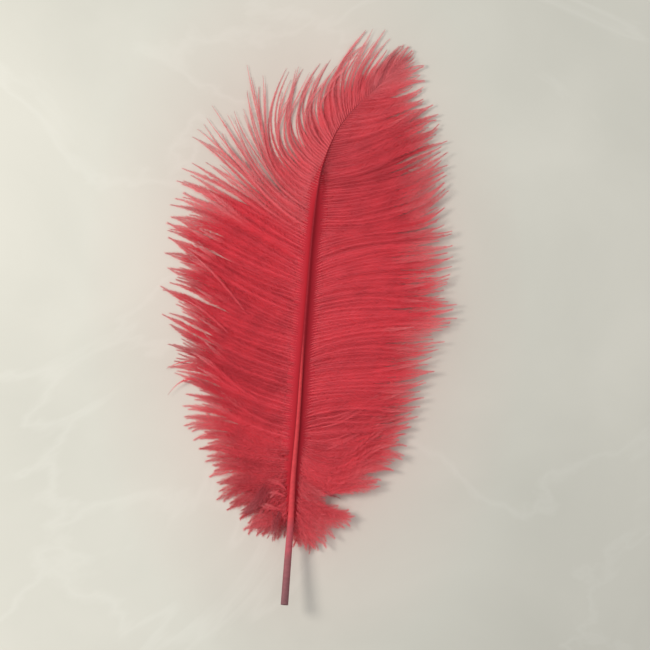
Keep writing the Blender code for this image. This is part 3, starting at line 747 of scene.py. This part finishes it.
def model_shaft():
    """The quill and rachis: a round drawn out ring by ring, with its cut end hollowed."""
    ys = np.linspace(SHAFT[0, 1], SHAFT_HIDDEN_FROM, SHAFT_RINGS)
    centres, headings, diameters = shaft_at(ys)
    diameters[-1] *= SHAFT_END
    turn = Vector((0, 0, 1)).rotation_difference(Vector(headings[0]))
    bpy.ops.mesh.primitive_circle_add(vertices=SHAFT_SIDES, radius=diameters[0] / 2 * MM, fill_type="NGON",
                                      location=Vector(centres[0]) * MM, rotation=turn.to_euler())
    shaft = bpy.context.object
    shaft.name = "shaft"
    bpy.ops.object.transform_apply(location=True, rotation=True, scale=True)
    to_mode("EDIT")
    bpy.ops.mesh.select_all(action="SELECT")
    for k in range(1, SHAFT_RINGS):
        step = Vector(centres[k] - centres[k - 1]) * MM
        grow = diameters[k] / diameters[k - 1]
        here = Vector(centres[k]) * MM
        bpy.ops.mesh.extrude_region_move(TRANSFORM_OT_translate={"value": step})
        bpy.ops.transform.resize(value=(grow, grow, grow), center_override=here)
        swing = Vector(headings[k - 1]).rotation_difference(Vector(headings[k]))
        axis, angle = swing.to_axis_angle()
        if angle > 1e-6:
            basis = axis.to_track_quat("Z", "Y").to_matrix()
            bpy.ops.transform.rotate(value=-angle, orient_axis="Z", orient_type="GLOBAL",
                                     orient_matrix=basis, orient_matrix_type="GLOBAL", center_override=here)
    bpy.ops.mesh.select_all(action="DESELECT")
    to_mode("OBJECT")
    cut_face = min(shaft.data.polygons, key=lambda face: face.center.y)
    cut_face.select = True
    to_mode("EDIT")
    cut_end, inwards = Vector(centres[0]) * MM, Vector(headings[0]) * HOLLOW_DEPTH * MM
    bpy.ops.mesh.select_mode(type="FACE")
    bpy.ops.mesh.extrude_region_move(TRANSFORM_OT_translate={"value": (0, 0, 0)})
    bpy.ops.transform.resize(value=(HOLLOW_WALL,) * 3, center_override=cut_end)
    bpy.ops.mesh.extrude_region_move(TRANSFORM_OT_translate={"value": inwards})
    bpy.ops.mesh.select_all(action="SELECT")
    bpy.ops.mesh.normals_make_consistent(inside=False)
    to_mode("OBJECT")
    bpy.ops.object.shade_smooth()
    to_mode("EDIT")
    bpy.ops.mesh.select_all(action="DESELECT")
    bpy.ops.mesh.edges_select_sharp(sharpness=radians(SHARP_FROM))
    bpy.ops.mesh.mark_sharp()
    to_mode("OBJECT")
    return shaft


# ---- materials


def new_material(name):
    material = bpy.data.materials.new(name)
    material.use_nodes = True
    tree = material.node_tree
    return material, tree, tree.nodes["Principled BSDF"]


def value_of(tree, name):
    node = tree.nodes.new("ShaderNodeAttribute")
    node.attribute_name = name
    return node.outputs["Fac"]


def ramp(tree, factor, stops):
    node = tree.nodes.new("ShaderNodeValToRGB")
    elements = node.color_ramp.elements
    while len(elements) < len(stops):
        elements.new(0.5)
    for element, (place, colour) in zip(elements, stops):
        element.position = place
        element.color = (*colour, 1)
    tree.links.new(factor, node.inputs["Fac"])
    return node.outputs["Color"]


def mix(tree, kind, factor, a, b):
    """A colour mix: the node's colours are its inputs 6 and 7 and its output 2."""
    node = tree.nodes.new("ShaderNodeMix")
    node.data_type, node.blend_type = "RGBA", kind
    for socket, value in ((node.inputs[0], factor), (node.inputs[6], a), (node.inputs[7], b)):
        if isinstance(value, bpy.types.NodeSocket):
            tree.links.new(value, socket)
        else:
            socket.default_value = value if isinstance(value, (int, float)) else (*value, 1)
    return node.outputs[2]


def let_light_through(tree, shader, colour, share):
    """Mixes a Translucent shader of this colour into the surface."""
    thin = tree.nodes.new("ShaderNodeBsdfTranslucent")
    both = tree.nodes.new("ShaderNodeMixShader")
    both.inputs[0].default_value = share
    tree.links.new(colour, thin.inputs["Color"])
    tree.links.new(shader.outputs[0], both.inputs[1])
    tree.links.new(thin.outputs[0], both.inputs[2])
    tree.links.new(both.outputs[0], tree.nodes["Material Output"].inputs["Surface"])


BAND_COLOUR = (0.43, 0.016, 0.027)
WHITE = (1, 1, 1)


def dyed(name, plain, pale, dusk_and_painted_shade, roughness, specular, through=0, paler_ends=False):
    """A dyed surface: plain near the shaft, pale towards the tips, dusky at the rami's tips and under painted
    shade; its tone holds painted light and shade as well.
    """
    material, tree, shader = new_material(name)
    colour = mix(tree, "MIX", value_of(tree, "pale"), plain, pale)
    if paler_ends:
        ends = ramp(tree, value_of(tree, "reach"), [(0, (0.92, 0.9, 0.9)), (1, WHITE)])
        colour = mix(tree, "MULTIPLY", 1.0, colour, ends)
    tone = ramp(tree, value_of(tree, "tone"), [
        (0, (0.78, 0.7, 0.7)),
        (0.5, (0.92, 0.89, 0.89)),
        (1, WHITE),
    ])
    colour = mix(tree, "MIX", value_of(tree, "root"), colour, BAND_COLOUR)
    colour = mix(tree, "MULTIPLY", 1.0, colour, tone)
    colour = mix(tree, "MIX", value_of(tree, "dark"), colour, dusk_and_painted_shade)
    tree.links.new(colour, shader.inputs["Base Color"])
    shader.inputs["Roughness"].default_value = roughness
    shader.inputs["Specular IOR Level"].default_value = specular
    if through:
        let_light_through(tree, shader, colour, through)
    return material


def barb_materials():
    return [
        dyed("dyed_barbules", plain=(0.925, 0.09, 0.131), pale=(0.98, 0.45, 0.46), dusk_and_painted_shade=(0.24, 0.06, 0.07),
             roughness=0.6, specular=0.16, through=0.45, paler_ends=True),
        # The rami's plain colour is dyed red made a little pinker than the barbules' as a painted sheen, so
        # that they show as light streaks.
        dyed("dyed_rami_painted_sheen", plain=(0.925, 0.127, 0.157), pale=(0.95, 0.28, 0.3), dusk_and_painted_shade=(0.19, 0.06, 0.065),
             roughness=0.45, specular=0.35, through=0.2),
        dyed("dyed_band_painted_shade", plain=BAND_COLOUR, pale=(0.62, 0.042, 0.064), dusk_and_painted_shade=(0.12, 0.01, 0.016),
             roughness=0.65, specular=0.05),
    ]


def dyed_shaft():
    material, tree, shader = new_material("dyed_shaft")
    place = tree.nodes.new("ShaderNodeTexCoord")
    split = tree.nodes.new("ShaderNodeSeparateXYZ")
    tree.links.new(place.outputs["Object"], split.inputs[0])
    share = tree.nodes.new("ShaderNodeMapRange")
    tree.links.new(split.outputs["Y"], share.inputs["Value"])
    share.inputs["From Min"].default_value = SHAFT[0, 1] * MM
    share.inputs["From Max"].default_value = SHAFT_HIDDEN_FROM * MM
    colour = ramp(tree, share.outputs["Result"], [
        (0, (0.2, 0.09, 0.098)),
        (0.09, (0.3, 0.095, 0.105)),
        (0.106, (0.42, 0.09, 0.11)),
        (0.15, (0.43, 0.07, 0.085)),
        (0.175, (0.56, 0.055, 0.065)),
        (0.45, (0.52, 0.042, 0.05)),
        (0.54, (0.28, 0.014, 0.022)),
        (1, (0.25, 0.014, 0.022)),
    ])
    grain = tree.nodes.new("ShaderNodeTexNoise")
    grain.inputs["Scale"].default_value = 600
    tree.links.new(place.outputs["Object"], grain.inputs["Vector"])
    cloudy = ramp(tree, grain.outputs["Fac"], [(0.3, (0.88, 0.88, 0.88)), (0.7, (1.08, 1.08, 1.08))])
    tree.links.new(mix(tree, "MULTIPLY", 1.0, colour, cloudy), shader.inputs["Base Color"])
    shader.inputs["Roughness"].default_value = 0.55
    shader.inputs["Specular IOR Level"].default_value = 0.07
    return material


# Painted light on the stone: painted shade at the lower right, a painted pool of light at the lower left, and
# under the feather a pink glow, painted red light thrown back by it. Each: a centre in X and Y, how far it
# reaches, and a ramp over that.
STONE_PAINTED_LIGHT = (
    ((172, -170), (220, 220), ((0.09, (0.88, 0.88, 0.88)), (1, WHITE))),
    ((-90, -150), (190, 150), ((0, (1.06, 1.06, 1.06)), (1, WHITE))),
    ((-1, 6), (112, 190), (
        (0.28, (1, 0.7, 0.7)),
        (0.5, (1, 0.87, 0.87)),
        (0.6, (1, 0.9, 0.9)),
        (0.76, (1, 0.95, 0.95)),
        (1, WHITE),
    )),
)


def pale_stone():
    material, tree, shader = new_material("pale_stone")
    place = tree.nodes.new("ShaderNodeTexCoord")
    clouds, veins = (tree.nodes.new("ShaderNodeTexNoise") for _ in range(2))
    for noise, scale, detail, distortion in ((clouds, 9, 6, 0.4), (veins, 5, 7, 1.1)):
        noise.inputs["Scale"].default_value = scale
        noise.inputs["Detail"].default_value = detail
        noise.inputs["Distortion"].default_value = distortion
        tree.links.new(place.outputs["Object"], noise.inputs["Vector"])
    colour = ramp(tree, clouds.outputs["Fac"], [(0.3, (0.545, 0.535, 0.475)), (0.7, (0.615, 0.60, 0.535))])
    lines = ramp(tree, veins.outputs["Fac"], [
        (0.485, (0, 0, 0)),
        (0.5, (0.22, 0.22, 0.22)),
        (0.515, (0, 0, 0)),
    ])
    colour = mix(tree, "MIX", lines, colour, (0.68, 0.67, 0.61))
    # The painted shade, pool of light and red glow are laid over the stone's own colour.
    for centre, reach, stops in STONE_PAINTED_LIGHT:
        about = tree.nodes.new("ShaderNodeMapping")
        about.vector_type = "TEXTURE"
        about.inputs["Location"].default_value = (centre[0] * MM, centre[1] * MM, 0)
        about.inputs["Scale"].default_value = (reach[0] * MM, reach[1] * MM, 1)
        tree.links.new(place.outputs["Object"], about.inputs["Vector"])
        away = tree.nodes.new("ShaderNodeVectorMath")
        away.operation = "LENGTH"
        tree.links.new(about.outputs["Vector"], away.inputs[0])
        colour = mix(tree, "MULTIPLY", 1.0, colour, ramp(tree, away.outputs["Value"], stops))
    tree.links.new(colour, shader.inputs["Base Color"])
    shader.inputs["Roughness"].default_value = 0.5
    shader.inputs["Specular IOR Level"].default_value = 0.25
    return material


# ---- stage, light and camera

VIEW_SIDE = 325  # the stretch of the stone top that fills the picture
VIEW_CENTRE = (8.5, -5.3)
CAMERA_HEIGHT = 3000
SENSOR = 36
LIGHT_FROM, LIGHT_ELEVATION = (-31, 6.5), 43
LIGHT_DISTANCE, LIGHT_SIDE = 900, 280
LIGHT_ENERGY, LIGHT_COLOUR = 5.2, (1, 0.97, 0.92)
ROOM_STRENGTH, ROOM_COLOUR = 0.735, (0.98, 0.99, 1)
STONE_SIDE = 6  # metres


def make_stage():
    bpy.ops.mesh.primitive_plane_add(size=STONE_SIDE)
    top = bpy.context.object
    top.name = "stone_top"
    top.data.materials.append(pale_stone())


def make_light():
    key = bpy.data.lights.new("window", "AREA")
    key.shape, key.size, key.energy = "DISK", LIGHT_SIDE * MM, LIGHT_ENERGY
    key.color = LIGHT_COLOUR
    lamp = add_object("window", key)
    level = Vector((*LIGHT_FROM, 0)).normalized()
    up = radians(LIGHT_ELEVATION)
    towards = level * cos(up) + Vector((0, 0, sin(up)))
    lamp.location = (Vector((*VIEW_CENTRE, 0)) + towards * LIGHT_DISTANCE) * MM
    lamp.rotation_euler = towards.to_track_quat("Z", "Y").to_euler()
    world = bpy.data.worlds.new("room")
    world.use_nodes = True
    background = world.node_tree.nodes["Background"]
    background.inputs["Color"].default_value = (*ROOM_COLOUR, 1)
    background.inputs["Strength"].default_value = ROOM_STRENGTH
    bpy.context.scene.world = world


def make_camera():
    data = bpy.data.cameras.new("camera")
    data.sensor_width = SENSOR
    data.lens = SENSOR * CAMERA_HEIGHT / VIEW_SIDE
    camera = add_object("camera", data)
    camera.location = Vector((*VIEW_CENTRE, CAMERA_HEIGHT)) * MM
    bpy.context.scene.camera = camera


def main():
    rng = np.random.default_rng(SEED)
    materials = barb_materials()
    pieces = make_vane("left", LEFT_STRANDS, LEFT, rng, materials)
    pieces += make_vane("right", right_strands(), RIGHT, rng, materials)
    pieces += make_strays(rng, materials)
    for piece in pieces:
        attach(piece, "root")
        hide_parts("feather")
    shaft = model_shaft()
    shaft.data.materials.append(dyed_shaft())
    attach(shaft, "root")
    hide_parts("feather")
    make_stage()
    make_light()
    make_camera()
    bpy.context.scene.view_settings.view_transform = "Standard"


main()
